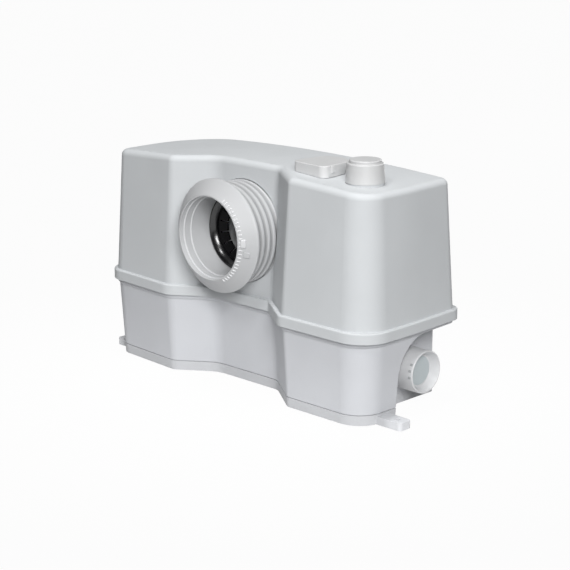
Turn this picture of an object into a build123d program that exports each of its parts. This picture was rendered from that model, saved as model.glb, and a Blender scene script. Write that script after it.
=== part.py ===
from build123d import *
import math
import os

os.makedirs("parts", exist_ok=True)

# Millimetres. X runs along the length, the toilet side faces -Y, the wall side +Y, the floor is z 0.

# Driving sizes of the housing, measured at the outer edge of the rim
length = 452.0
depth = 176.0
roof_height = 270.0
crown_radius = 2800.0
rim_top = 111.0
skirt_height = 12.5
flange_height = 4.0
flange_chamfer = 3.0
rim_overhang = 4.8
flange_inset = 4.6
tank_top_inset = 6.6
base_inset = 12.0
base_height = 12.4
cover_draft = 3.2
wall = 3.0
skirt_edge_radius = 1.6
roof_edge_radius = 7.5
base_seam_inset = 0.6
seam_gap = 0.8
seam_depth = 1.2
cover_shares = (1.0, 1.0)
tank_shares = (0.3, 1.25)
tight_round_share = 0.55

# Plan of the rim: the recess in the toilet side and the rounded ends
recess_depth = 36.0
recess_width = 95.0
recess_centre = -5.5
left_front_back = 3.0
slant_angle = 35.2
left_front_angle = 4.0
right_back_angle = 3.6
left_front_radius = 31.0
left_back_radius = 92.0
right_front_radius = 38.0
right_back_radius = 18.0
right_side_radius = 600.0
least_radius = 2.0
shoulder_radius = 25.0
recess_radius = 22.0
right_shoulder_radius = 17.0
right_recess_radius = 9.0

# Side inlet and its pocket
port_y = 20.8
port_z = 47.7
port_radius = 25.1
port_mouth_radius = 23.6
port_cone_radius = 18.6
port_throat_radius = 17.2
port_ledge = 1.2
port_mouth_depth = 10.0
port_reach = 3.0
pocket_wall_x = 180.0
pocket_front_y = -18.0
pocket_arch_radius = 46.0
pocket_arch_height = 93.0
port_neck_radius = 20.0
port_neck_length = 7.0
blank_thickness = 2.0

# Toilet inlet collar, screwed into the neck of the cover
inlet_x = -8.6
inlet_z = 186.5
mouth_y = -100.0
mouth_radius = 49.0
mouth_edge = 1.4
cone_depth = 14.0
collar_radius = 67.8
collar_edge_height = 3.4
thread_pitch = 9.0
thread_crest_radius = 61.2
thread_root_radius = 58.6
thread_crest_width = 2.4
thread_foot_width = 6.2
thread_first = 22.0
thread_count = 5
collar_length = 62.0
bore_step = 1.0
bore_step_depths = (7.0, 17.0)
seal_depth = 48.0
seal_seat_radius = 54.0
neck_outer_radius = 66.0
neck_back_y = -32.0
thread_clearance = 0.4
tab_width = 6.0
tab_height = 7.0
tab_rise = 1.2
tab_angle = -12.0

# Lip seal and the sleeve that carries it
seal_flange = 3.0
seal_bead = 2.4
seal_lip_thickness = 1.8
seal_lip_radius = 29.0
seal_lip_depth = 11.0
seal_slits = 16
seal_slit_width = 1.5
seal_slit_radius = 37.0
sleeve_wall = 3.0
sleeve_length = 36.0

# Clearances
slide_clearance = 0.3
turn_clearance = 0.3
fit_clearance = 0.1
bearing_clearance = 0.03
overrun = 2.0

# Roof fittings
outlet_x = 168.2
outlet_y = -25.9
stub_radius = 17.0
stub_wall = 3.0
stub_rise = 17.0
cap_foot_radius = 22.2
cap_shoulder_radius = 20.7
cap_top_radius = 18.2
cap_height = 25.6
cap_step = 3.8
cap_wall = 1.9
cap_edge = 0.9
cap_seat_rise = 1.6
hatch_rise = 11.0
hatch_top = roof_height + hatch_rise
hatch_x = 100.5
hatch_y = -19.0
hatch_length = 56.0
hatch_width = 62.0
hatch_corner_shares = [(-0.5, -0.395), (0.5, -0.5), (0.402, 0.306), (0.027, 0.5), (-0.42, 0.371)]
hatch_radius = 8.0
hatch_edge = 1.1
hatch_wall = 2.2
hatch_tab_width = 5.6
hatch_tab_reach = 1.6
hatch_tab_drop = 8.5
hatch_gap = 0.35
vent_radius = 19.0
vent_ring_drop = 6.0
vent_ring_wall = 1.6
hinge_pin_radius = 1.5
filter_height = 16.0

# Foot lugs
lug_tip_left = 12.0
lug_tip_right = 20.0
lug_width = 19.5
lug_height = 9.0
lug_y = -40.5
lug_hole_radius = 3.2
lug_hole_tip = 12.5
lug_corner = 4.5
lug_root = 22.0

# Pump set
pump_x = -140.0
pump_y = 10.0
casing_radius = 50.0
volute_growth = 2.6
casing_floor = 38.0
casing_height = 34.0
casing_wall = 4.0
casing_hub_radius = 28.0
casing_hub_height = 12.0
eye_radius = 16.0
socket_length = 15.0
leg_radius = 7.0
leg_count = 3
leg_circle = 40.0
damper_height = 5.0
impeller_radius = 34.0
impeller_plate = 3.0
vane_count = 6
vane_height = 12.0
vane_width = 3.0
vane_curve_share = 0.62
cutter_radius = 24.0
cutter_thickness = 4.0
cutter_teeth = 4
cutter_ring_radius = 30.0
cutter_ring_wall = 3.6
cutter_ring_height = 18.0
cutter_slots = 12
cutter_slot_width = 5.0
shaft_radius = 5.0
hub_radius = 8.0
motor_radius = 44.0
motor_wall = 2.5
motor_height = 108.0
motor_top_height = 9.0
bearing_radius = 11.0
bearing_width = 7.0
rotor_radius = 24.0
rotor_length = 55.0
air_gap = 0.6
stator_width = 14.0
winding_width = 9.0
winding_overhang = 9.0
seal_width = 8.0

# Pipework
pipe_radius = 14.0
pipe_wall = 2.5
pipe_z = 55.0
pipe_bend = 24.0
socket_wall = 2.8
clamp_width = 8.0
clamp_thickness = 1.2
clamp_block = 6.0
valve_radius = 24.0
valve_wall = 3.0
valve_height = 34.0
valve_floor = 202.0
flap_thickness = 2.4
flap_overlap = 2.6
flap_lift = 0.3

# Level control and electrics
level_x = 112.0
level_y = 46.0
level_radius = 13.0
level_wall = 2.0
level_bottom = 24.0
level_top = 214.0
switch_radius = 20.0
switch_height = 24.0
plunger_radius = 2.6
plunger_rise = 6.0
plunger_length = 14.0
box_length = 84.0
box_width = 62.0
box_height = 32.0
capacitor_radius = 11.0
capacitor_length = 52.0
gland_radius = 9.0
gland_height = 11.0
gland_bore = 4.0
gland_x = -100.0
gland_z = 226.0

# Underside
foot_radius = 7.0
foot_x_share = 0.36
foot_y = 40.0
rib_count = 7
rib_width = 2.0
screw_head_radius = 4.0
screw_head_height = 2.6
screw_radius = 2.0
screw_length = 9.0
screw_boss_radius = 5.0
gasket_width = 3.0
gasket_height = 1.8
gasket_inset = 5.8


def unit(angle):
    """Direction in plan at an angle from +X."""
    return math.cos(math.radians(angle)), math.sin(math.radians(angle))


def plan_walls(inset, shares=cover_shares):
    """Walls of the plan in order, each as its outward angle and its distance from the origin.

    The shares are the parts of the inset that the back wall and the right wall take."""
    back_share, right_share = shares
    front = depth / 2
    right = length / 2 - inset * (right_share - 1)
    slant_right = 270 - slant_angle
    slant_left = 270 + slant_angle
    recess_right = recess_centre + recess_width / 2
    recess_left = recess_centre - recess_width / 2
    recess_y = recess_depth - front

    def through(angle, x, y):
        ux, uy = unit(angle)
        return angle, ux * x + uy * y - inset

    return [
        (180, length / 2 - inset),
        through(270 - left_front_angle, recess_left - recess_depth / math.tan(math.radians(slant_angle)),
                left_front_back - front),
        through(slant_left, recess_left, recess_y),
        (270, front - recess_depth - inset),
        through(slant_right, recess_right, recess_y),
        (270, front - inset),
        (0, right - inset),
        through(right_back_angle, right, 0),
        (90, depth / 2 - inset * back_share),
    ]


def plan_face(inset, height, shares=cover_shares):
    """Closed plan at a height: walls meet in corners, and each corner gets its own round."""
    walls = plan_walls(inset, shares)
    outer = [left_front_radius, shoulder_radius, 0, 0, right_shoulder_radius,
             right_front_radius, right_side_radius, right_back_radius, left_back_radius]
    radii = [max(radius - inset, least_radius) for radius in outer]
    radii[2] = recess_radius + inset
    radii[3] = right_recess_radius + inset
    radii[4] = right_shoulder_radius - inset * tight_round_share
    radii[5] = right_front_radius - inset * tight_round_share
    radii[7] = right_back_radius - inset * tight_round_share
    corners = []
    for (a, p), (b, q) in zip(walls, walls[1:] + walls[:1]):
        ax, ay = unit(a)
        bx, by = unit(b)
        cross = ax * by - ay * bx
        corners.append(((p * by - q * ay) / cross, (q * ax - p * bx) / cross))
    pieces = []
    ends = []
    count = len(corners)
    for i in range(count):
        a = walls[i][0]
        b = walls[(i + 1) % count][0]
        turn = (b - a + 180) % 360 - 180
        reach = radii[i] * math.tan(math.radians(abs(turn) / 2))
        ax, ay = unit(a + 90)
        bx, by = unit(b + 90)
        cx, cy = corners[i]
        start = (cx - ax * reach, cy - ay * reach)
        end = (cx + bx * reach, cy + by * reach)
        side = 1 if turn > 0 else -1
        nx, ny = unit(a)
        centre = (start[0] - side * nx * radii[i], start[1] - side * ny * radii[i])
        mx, my = unit(a + turn / 2)
        middle = (centre[0] + side * mx * radii[i], centre[1] + side * my * radii[i])
        ends.append((start, middle, end))
    for i in range(count):
        start, middle, end = ends[i]
        pieces.append(ThreePointArc(start, middle, end))
        pieces.append(Line(end, ends[(i + 1) % count][0]))
    return Pos(0, 0, height) * make_face(Wire(Curve() + pieces).edges())


def plan_solid(levels, shares=cover_shares):
    """Ruled solid through plans given as (height, inset)."""
    solid = None
    for (z0, inset0), (z1, inset1) in zip(levels, levels[1:]):
        if inset0 == inset1:
            piece = extrude(plan_face(inset0, z0, shares), z1 - z0)
        else:
            faces = [plan_face(inset0, z0, shares), plan_face(inset1, z1, shares)]
            piece = loft(faces, ruled=True)
        solid = piece if solid is None else solid + piece
    return solid


def upright(radius, bottom, top, x, y):
    """Vertical cylinder between two heights."""
    return Pos(x, y, (bottom + top) / 2) * Cylinder(radius, top - bottom)


def along_x(radius, start, end, y, z):
    """Cylinder along X."""
    return Pos((start + end) / 2, y, z) * Rot(0, 90, 0) * Cylinder(radius, end - start)


def along_y(radius, start, end, x, z):
    """Cylinder along Y."""
    return Pos(x, (start + end) / 2, z) * Rot(90, 0, 0) * Cylinder(radius, end - start)


def block(low, high):
    """Box between two corners."""
    size = [b - a for a, b in zip(low, high)]
    centre = [(a + b) / 2 for a, b in zip(low, high)]
    return Pos(*centre) * Box(*size)


def turned_y(profile, x, z):
    """Solid turned about a line along Y: the profile is (radius, y) points."""
    face = make_face(Polyline(*[(r, y) for r, y in profile], close=True))
    return Pos(x, 0, z) * revolve(face, Axis.Y)


def turned_x(profile, y, z):
    """Solid turned about a line along X: the profile is (x, radius) points."""
    face = make_face(Polyline(*profile, close=True))
    return Pos(0, y, z) * revolve(face, Axis.X)


def turned_z(profile, x, y):
    """Solid turned about a vertical line: the profile is (radius, z) points."""
    face = Plane.XZ * make_face(Polyline(*profile, close=True))
    return Pos(x, y, 0) * revolve(face, Axis.Z)


def roof_z(x, drop=0.0):
    """Height of the crowned roof over a place along the length."""
    return roof_height - crown_radius + math.sqrt(crown_radius**2 - x**2) - drop


def crown(drop=0.0):
    """Everything below the crowned roof, or below it by a drop."""
    reach = length + depth
    cylinder = along_y(crown_radius - drop, -reach, reach, 0, roof_height - crown_radius)
    return cylinder & block((-length, -depth, -overrun), (length, depth, roof_height + overrun))


def wall_inset(z):
    """Inset of the cover's wall at a height."""
    return rim_overhang + (z - rim_top) * math.tan(math.radians(cover_draft))


def pocket_tool(grow=0.0):
    """Space round the side inlet: an arch in the side wall, open at the back and below."""
    x0 = pocket_wall_x - grow
    front = pocket_front_y - grow
    radius = pocket_arch_radius + grow
    top = pocket_arch_height + grow
    back = depth
    low = -overrun
    profile = Plane.YZ * make_face(
        Wire(
            Curve()
            + [
                Line((front, low), (front, top - radius)),
                RadiusArc((front, top - radius), (front + radius, top), radius),
                Line((front + radius, top), (back, top)),
                Line((back, top), (back, low)),
                Line((back, low), (front, low)),
            ]
        ).edges()
    )
    return Pos(x0, 0, 0) * extrude(profile, length)


def lug(side):
    """Fixing lug at one end, with its bolt hole."""
    tip = side * length / 2 + (lug_tip_right if side > 0 else -lug_tip_left)
    root = side * (length / 2 - base_inset - lug_root)
    plate = block(
        (min(tip, root), lug_y - lug_width / 2, 0), (max(tip, root), lug_y + lug_width / 2, lug_height)
    )
    ends = plate.edges().filter_by(Axis.Z).sort_by(Axis.X)
    ends = ends[-2:] if side > 0 else ends[:2]
    plate = fillet(ends, lug_corner)
    hole = upright(lug_hole_radius, -overrun, lug_height + overrun, tip - side * lug_hole_tip, lug_y)
    return plate - hole


def foot_places():
    """Centres of the rubber feet."""
    x = length * foot_x_share
    return [(-x, -foot_y), (-x, foot_y), (x - foot_y / 2, -foot_y), (x - foot_y / 2, foot_y)]


def screw_places():
    """Centres of the base screws, beside the rubber feet and in the middle."""
    shift = 3 * foot_radius
    places = [(x - shift, y) for x, y in foot_places()]
    return places + [(recess_centre, foot_y + foot_y / 2), (recess_centre, foot_y / 2)]


def base_plate():
    seam = base_inset - base_seam_inset
    body = plan_solid([(0, base_inset), (base_height - seam_gap, seam)], tank_shares)
    body = body + extrude(plan_face(seam + seam_depth, base_height - seam_gap, tank_shares), seam_gap)
    inner = plan_face(base_inset + wall, -overrun, tank_shares)
    hollow = extrude(inner, base_height - wall + overrun)
    ribs = None
    for i in range(rib_count):
        x = length * ((i + 1) / (rib_count + 1) - 1 / 2)
        rib = block((x - rib_width / 2, -depth, 0), (x + rib_width / 2, depth, base_height))
        ribs = rib if ribs is None else ribs + rib
    for x, y in foot_places() + screw_places():
        ribs = ribs - upright(foot_radius + wall, -overrun, base_height + overrun, x, y)
    body = body - (hollow - ribs)
    body = body - pocket_tool()
    rim_wall = pocket_tool(wall) - pocket_tool()
    rim_wall = rim_wall & extrude(plan_face(base_inset + wall, 0, tank_shares), base_height)
    body = body + rim_wall
    for side in (-1, 1):
        body = body + (lug(side) - hollow_core())
    for x, y in screw_places():
        body = body - upright(screw_radius + fit_clearance, 0, base_height + overrun, x, y)
    return body


def hollow_core():
    """Core under the base plate that the lugs stay out of."""
    return extrude(plan_face(base_inset + wall, -overrun, tank_shares), roof_height)


def tank():
    ledge = rim_top - skirt_height
    under = ledge - flange_height
    outer = plan_solid(
        [
            (base_height, base_inset - base_seam_inset),
            (under - flange_chamfer, tank_top_inset),
            (under, flange_inset),
            (ledge, flange_inset),
        ],
        tank_shares,
    )
    outer = outer & extrude(plan_face(flange_inset, 0), rim_top)
    inner = plan_solid(
        [(base_height + wall, base_inset + wall), (ledge + overrun, tank_top_inset + wall)],
        tank_shares,
    )
    inner = inner & extrude(plan_face(tank_top_inset + wall, 0), rim_top)
    shell = outer - pocket_tool() - (inner - pocket_tool(wall))
    shell = shell - along_x(port_neck_radius + fit_clearance, 0, length, port_y, port_z)
    for x, y in screw_places():
        boss = upright(screw_boss_radius, base_height + wall / 2, base_height + screw_length, x, y)
        shell = shell + boss
        top = base_height + screw_length - wall / 2
        shell = shell - upright(screw_radius + fit_clearance, base_height - overrun, top, x, y)
    return shell


def rim_gasket():
    ledge = rim_top - skirt_height
    ring = extrude(plan_face(gasket_inset, ledge), gasket_height)
    return ring - extrude(plan_face(gasket_inset + gasket_width, ledge), gasket_height)


def cover():
    ledge = rim_top - skirt_height
    outer = plan_solid([(rim_top, rim_overhang), (roof_height, wall_inset(roof_height))])
    outer = outer & crown()
    roof_edges = outer.faces().sort_by(Axis.Z)[-1].outer_wire().edges()
    outer = fillet(roof_edges, roof_edge_radius)
    skirt = extrude(plan_face(0, ledge), skirt_height)
    skirt = fillet(skirt.faces().sort_by(Axis.Z)[-1].edges(), skirt_edge_radius)
    neck = along_y(neck_outer_radius, -depth / 2, neck_back_y, inlet_x, inlet_z) & outer
    inner = plan_solid([(rim_top, rim_overhang + wall), (roof_height, wall_inset(roof_height) + wall)])
    inner = inner & crown(wall)
    seat = extrude(plan_face(tank_top_inset + wall, ledge), skirt_height)
    rebate = extrude(plan_face(gasket_inset - fit_clearance, ledge), gasket_height)
    rebate = rebate - extrude(plan_face(gasket_inset + gasket_width + fit_clearance, ledge), gasket_height)
    boss = upright(cap_foot_radius - cap_edge, roof_z(outlet_x) - 3 * wall, cap_seat(), outlet_x, outlet_y)
    shell = outer + skirt - inner - seat - rebate
    shell = shell + neck + boss
    bore = thread_crest_radius + thread_clearance
    shell = shell - along_y(bore, -depth, 0, inlet_x, inlet_z)
    shell = shell - upright(stub_radius + fit_clearance, rim_top, hatch_top, outlet_x, outlet_y)
    x, y = hatch_centre()
    cup_floor = roof_z(x) - filter_height - vent_ring_drop - wall
    shell = shell + (upright(vent_radius + wall, cup_floor, hatch_top, x, y) & crown(wall / 2))
    shell = shell - upright(vent_radius, cup_floor + wall, hatch_top, x, y)
    shell = shell - upright(vent_radius - wall, rim_top, hatch_top, x, y)
    hanger = upright(switch_radius, level_top + switch_height, hatch_top, level_x, level_y) & crown(wall / 2)
    shell = shell + hanger - upright(switch_radius - wall, rim_top, roof_z(level_x) - wall, level_x, level_y)
    shell = shell + along_y(gland_radius + cap_edge, gland_seat_y() - wall, gland_seat_y(), gland_x, gland_z)
    return shell - along_y(gland_radius / 2 + fit_clearance, 0, depth, gland_x, gland_z)


def gland_seat_y():
    """Plane of the flat boss that the cable gland sits on."""
    return depth / 2 - wall_inset(gland_z - gland_radius - cap_edge)


def cap_seat():
    """Height that the discharge cap rests on."""
    return roof_z(outlet_x) + cap_seat_rise


def wc_inlet_collar():
    y0 = mouth_y
    outline = [
        (mouth_radius, y0),
        (mouth_radius + mouth_edge, y0),
        (collar_radius - mouth_edge, y0 + cone_depth),
        (collar_radius, y0 + cone_depth + mouth_edge),
        (collar_radius, y0 + cone_depth + collar_edge_height),
        (thread_root_radius, y0 + cone_depth + collar_edge_height),
    ]
    for i in range(thread_count):
        middle = y0 + thread_first + i * thread_pitch
        outline += [
            (thread_root_radius, middle - thread_foot_width / 2),
            (thread_crest_radius, middle - thread_crest_width / 2),
            (thread_crest_radius, middle + thread_crest_width / 2),
            (thread_root_radius, middle + thread_foot_width / 2),
        ]
    first, second = bore_step_depths
    outline += [
        (thread_root_radius, y0 + collar_length),
        (seal_seat_radius, y0 + collar_length),
        (seal_seat_radius, y0 + seal_depth),
        (mouth_radius - 2 * bore_step, y0 + seal_depth),
        (mouth_radius - 2 * bore_step, y0 + second),
        (mouth_radius - bore_step, y0 + second - bore_step),
        (mouth_radius - bore_step, y0 + first),
        (mouth_radius, y0 + first - bore_step),
    ]
    collar = turned_y(outline, inlet_x, inlet_z)
    slope = math.degrees(math.atan2(collar_radius - mouth_radius - 2 * mouth_edge, cone_depth))
    middle_radius = (mouth_radius + collar_radius) / 2
    pointer = Box(tab_height, 2 * tab_rise, tab_width)
    pointer = Pos(middle_radius, y0 + cone_depth / 2, 0) * Rot(0, 0, slope - 90 + 2 * (90 - slope)) * pointer
    return collar + Pos(inlet_x, 0, inlet_z) * Rot(0, -tab_angle, 0) * pointer


def inlet_lip_seal():
    start = mouth_y + seal_depth
    bore = mouth_radius - 2 * bore_step
    outline = [
        (seal_seat_radius - slide_clearance, start + fit_clearance),
        (seal_seat_radius - slide_clearance, start + seal_flange),
        (seal_seat_radius - sleeve_wall - 2 * slide_clearance, start + seal_flange),
        (bore - seal_bead, start + seal_flange + seal_lip_thickness),
        (seal_lip_radius, start + seal_lip_depth + seal_lip_thickness),
        (seal_lip_radius, start + seal_lip_depth),
        (bore - 2 * seal_bead, start + seal_flange),
        (bore - seal_bead, start + fit_clearance),
    ]
    ring = turned_y(outline, inlet_x, inlet_z)
    reach = seal_slit_radius
    for i in range(seal_slits):
        slit = Pos(reach / 2, start + seal_lip_depth, 0) * Box(reach, 2 * seal_lip_depth, seal_slit_width)
        ring = ring - Pos(inlet_x, 0, inlet_z) * Rot(0, 360 * (i + 1 / 2) / seal_slits, 0) * slit
    return ring


def inlet_sleeve():
    start = mouth_y + seal_depth + seal_flange
    outer = seal_seat_radius - slide_clearance
    tube = along_y(outer, start, start + sleeve_length, inlet_x, inlet_z)
    return tube - along_y(outer - sleeve_wall, start - overrun, start + 2 * sleeve_length, inlet_x, inlet_z)


def inlet_hood():
    socket = seal_seat_radius
    outer = socket + sleeve_wall
    back = neck_back_y + 2 * socket * 2 / 3
    body = along_y(outer, neck_back_y, back, inlet_x, inlet_z)
    body = body + along_y(neck_outer_radius, neck_back_y, neck_back_y + wall, inlet_x, inlet_z)
    body = body - along_y(socket, neck_back_y - overrun, back - wall, inlet_x, inlet_z)
    mouth = block(
        (inlet_x - socket, neck_back_y + sleeve_length, rim_top),
        (inlet_x + socket, back - wall, inlet_z - socket / 2),
    )
    return body - mouth


def spigot_mouth_x():
    """Plane of the side inlet's mouth."""
    return length / 2 - port_reach


def side_inlet_spigot():
    mouth = spigot_mouth_x()
    inner_end = pocket_wall_x - port_neck_length
    ledge_x = mouth - port_mouth_depth - blank_thickness
    outline = [
        (mouth, port_mouth_radius),
        (mouth, port_radius - port_ledge / 2),
        (mouth - port_ledge / 2, port_radius),
        (pocket_wall_x, port_radius),
        (pocket_wall_x, port_neck_radius),
        (inner_end, port_neck_radius),
        (inner_end, port_throat_radius - port_ledge),
        (ledge_x, port_throat_radius - port_ledge),
        (ledge_x, port_throat_radius),
        (mouth - port_mouth_depth, port_throat_radius),
        (mouth - port_mouth_depth, port_cone_radius),
    ]
    return turned_x(outline, port_y, port_z)


def side_blank():
    face = spigot_mouth_x() - port_mouth_depth
    return along_x(port_throat_radius - fit_clearance / 2, face - blank_thickness, face, port_y, port_z)


def flap_x():
    """Plane of the seat that the side flap closes on."""
    return pocket_wall_x - port_neck_length - wall


def side_flap_seat():
    start = flap_x()
    end = pocket_wall_x - wall
    outer = port_radius
    ring = along_x(outer, start, end, port_y, port_z)
    ring = ring - along_x(port_neck_radius + fit_clearance, pocket_wall_x - port_neck_length, length, port_y, port_z)
    ring = ring - along_x(port_throat_radius - port_ledge, 0, length, port_y, port_z)
    z = flap_pin_z()
    for side in (-1, 1):
        y = port_y + side * flap_ear_y()
        ear = block((start - 4 * hinge_pin_radius, y - wall / 2, z - 2 * hinge_pin_radius),
                    (start, y + wall / 2, z + 2 * hinge_pin_radius))
        ear = ear - along_y(hinge_pin_radius, y - wall, y + wall, flap_pin_x(), z)
        ring = ring + ear
    return ring


def flap_pin_x():
    return flap_x() - 2 * hinge_pin_radius


def flap_pin_z():
    return port_z + port_throat_radius + hinge_pin_radius


def flap_ear_y():
    """Half the distance between the ears of the side flap's hinge."""
    return port_radius / 2 + wall / 2


def side_flap():
    start = flap_x() - flap_lift
    radius = port_throat_radius - port_ledge + flap_overlap / 2
    disc = along_x(radius, start - flap_thickness, start, port_y, port_z)
    half = flap_ear_y() - wall / 2 - turn_clearance
    z = flap_pin_z()
    arm = block((start - flap_thickness, port_y - half / 2, port_z), (start, port_y + half / 2, z))
    barrel = along_y(2 * hinge_pin_radius - flap_lift, port_y - half, port_y + half, flap_pin_x(), z)
    flap = disc + arm + barrel
    return flap - along_y(hinge_pin_radius + bearing_clearance, -depth, depth, flap_pin_x(), z)


def side_flap_pin():
    half = flap_ear_y() + wall / 2
    return along_y(hinge_pin_radius, port_y - half, port_y + half, flap_pin_x(), flap_pin_z())


def discharge_stub():
    top = cap_seat() + stub_rise
    bottom = valve_floor + valve_height
    tube = upright(stub_radius, bottom, top, outlet_x, outlet_y)
    collar_top = roof_z(outlet_x) - 3 * wall
    tube = tube + upright(cap_foot_radius, collar_top - wall, collar_top, outlet_x, outlet_y)
    tube = tube + upright(valve_radius, bottom, bottom + wall, outlet_x, outlet_y)
    return tube - upright(stub_radius - stub_wall, bottom - overrun, top + overrun, outlet_x, outlet_y)


def discharge_cap():
    foot = cap_seat()
    top = foot + cap_height
    inner = cap_foot_radius - cap_wall - cap_edge
    outline = [
        (0, top),
        (cap_top_radius - cap_edge, top),
        (cap_top_radius, top - cap_edge),
        (cap_top_radius, top - cap_step),
        (cap_shoulder_radius - cap_edge, top - cap_step),
        (cap_shoulder_radius, top - cap_step - cap_edge),
        (cap_foot_radius, foot),
        (inner, foot),
        (cap_shoulder_radius - cap_wall, top - cap_step - 2 * cap_wall),
        (0, top - cap_step - 2 * cap_wall),
    ]
    return turned_z(outline, outlet_x, outlet_y)


def discharge_valve_body():
    top = valve_floor + valve_height
    body = upright(valve_radius, valve_floor, top, outlet_x, outlet_y)
    body = body - upright(valve_radius - valve_wall, valve_floor + valve_wall, top + overrun, outlet_x, outlet_y)
    socket = pipe_radius + fit_clearance
    body = body + upright(socket + socket_wall, valve_floor - socket_length, valve_floor, outlet_x, outlet_y)
    body = body - upright(socket, valve_floor - socket_length - overrun, valve_floor, outlet_x, outlet_y)
    body = body - upright(pipe_radius - pipe_wall, valve_floor - overrun, top, outlet_x, outlet_y)
    y = valve_pin_y()
    z = valve_pin_z()
    half = valve_ear_x()
    for side in (-1, 1):
        x = outlet_x + side * half
        ear = block((x - wall / 2, y - 2 * hinge_pin_radius, valve_floor + valve_wall / 2),
                    (x + wall / 2, y + 2 * hinge_pin_radius, z + 2 * hinge_pin_radius))
        body = body + (ear & upright(valve_radius, valve_floor, top, outlet_x, outlet_y))
    return body - along_x(hinge_pin_radius, outlet_x - half - wall, outlet_x + half + wall, y, z)


def valve_pin_y():
    return outlet_y + pipe_radius + hinge_pin_radius


def valve_pin_z():
    return valve_floor + valve_wall + 2 * hinge_pin_radius


def valve_ear_x():
    return pipe_radius / 2 + wall / 2


def discharge_flap():
    seat = valve_floor + valve_wall + flap_lift
    radius = pipe_radius - pipe_wall + flap_overlap / 2
    disc = upright(radius, seat, seat + flap_thickness, outlet_x, outlet_y)
    half = valve_ear_x() - wall / 2 - turn_clearance
    y = valve_pin_y()
    arm = block((outlet_x - half / 2, outlet_y, seat), (outlet_x + half / 2, y, seat + flap_thickness))
    barrel = along_x(2 * hinge_pin_radius - flap_lift, outlet_x - half, outlet_x + half, y, valve_pin_z())
    flap = disc + arm + barrel
    return flap - along_x(hinge_pin_radius + bearing_clearance, 0, length, y, valve_pin_z())


def discharge_flap_pin():
    half = valve_ear_x() + wall / 2
    return along_x(hinge_pin_radius, outlet_x - half, outlet_x + half, valve_pin_y(), valve_pin_z())


def hatch_corners():
    """Corners of the vent lid: five, with the blunt one at the back."""
    return [(hatch_x + x * hatch_length, hatch_y + y * hatch_width) for x, y in hatch_corner_shares]


def hatch_centre():
    points = hatch_corners()
    return sum(x for x, y in points) / len(points), sum(y for x, y in points) / len(points)


def hatch_prism(shrink, bottom, top):
    face = make_face(Polyline(*hatch_corners(), close=True))
    face = fillet(face.vertices(), hatch_radius)
    if shrink:
        face = offset(face, -shrink)
    return Pos(0, 0, bottom) * extrude(face, top - bottom)


def hatch_lid():
    low = roof_z(length / 2)
    body = hatch_prism(0, low, hatch_top)
    body = fillet(body.faces().sort_by(Axis.Z)[-1].edges(), hatch_edge)
    body = body - hatch_prism(hatch_wall, low - overrun, hatch_top - hatch_wall)
    points = hatch_corners()
    x, y = points[1]
    tab_y = y + 2 * hatch_radius
    face_x = x - hatch_tab_reach
    tab = block((face_x - hatch_tab_reach, tab_y - hatch_tab_width / 2, hatch_top - hatch_tab_drop),
                (face_x + hatch_tab_reach, tab_y + hatch_tab_width / 2, hatch_top - hatch_edge))
    x, y = hatch_centre()
    outer = vent_radius - hatch_gap
    ring = upright(outer, roof_z(x) - vent_ring_drop, hatch_top - hatch_wall, x, y)
    ring = ring - upright(outer - vent_ring_wall, 0, hatch_top - hatch_wall, x, y)
    return body + tab - crown(-hatch_gap) + ring


def vent_filter():
    x, y = hatch_centre()
    bottom = roof_z(x) - filter_height - vent_ring_drop
    return upright(vent_radius - slide_clearance, bottom, bottom + filter_height - slide_clearance, x, y)


def outlet_offset():
    """How far the casing's outlet lies from the pump's axis, level with the widest turn of the volute."""
    return casing_radius - pipe_radius - fit_clearance - socket_wall


def volute(shrink, bottom, top):
    """Spiral of four quarter arcs, each a step wider than the last, that ends at the outlet."""
    turns = []
    corners = [(0, 0), (-volute_growth, 0), (-volute_growth, -volute_growth), (0, -volute_growth)]
    for i, (x, y) in enumerate(corners):
        radius = casing_radius - i * volute_growth - shrink
        ends = [unit(angle) for angle in (90 + 90 * i, 135 + 90 * i, 180 + 90 * i)]
        turns.append(ThreePointArc(*[(x + ux * radius, y + uy * radius) for ux, uy in ends]))
    turns.append(Line(turns[-1] @ 1, turns[0] @ 0))
    return Pos(pump_x, pump_y, bottom) * extrude(make_face(Wire(Curve() + turns).edges()), top - bottom)


def pump_casing():
    x, y = pump_x, pump_y
    top = casing_floor + casing_height
    body = volute(0, casing_floor, top)
    body = body + upright(casing_hub_radius, top, top + casing_hub_height, x, y)
    outlet_y_line = y + outlet_offset()
    socket = pipe_radius + fit_clearance
    end = outlet_end_x()
    body = body + along_x(socket + socket_wall, x, end, outlet_y_line, pipe_z)
    for i in range(leg_count):
        ux, uy = unit(360 * i / leg_count - 90)
        body = body + upright(leg_radius, base_height + wall + damper_height, casing_floor + casing_wall,
                              x + ux * leg_circle, y + uy * leg_circle)
    body = body - volute(casing_wall, casing_floor + casing_wall, top - casing_wall)
    body = body - upright(eye_radius, casing_floor - overrun, casing_floor + casing_wall, x, y)
    body = body - along_x(pipe_radius - pipe_wall, x, end, outlet_y_line, pipe_z)
    body = body - along_x(socket, end - socket_length, end + overrun, outlet_y_line, pipe_z)
    body = body - upright(bearing_radius - shaft_radius / 2, top - casing_wall - overrun,
                          top + casing_hub_height + overrun, x, y)
    return body


def outlet_end_x():
    return pump_x + casing_radius + socket_length


def pump_dampers():
    pads = None
    for i in range(leg_count):
        ux, uy = unit(360 * i / leg_count - 90)
        pad = upright(leg_radius + fit_clearance, base_height + wall, base_height + wall + damper_height,
                      pump_x + ux * leg_circle, pump_y + uy * leg_circle)
        pads = pad if pads is None else pads + pad
    return pads


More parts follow.
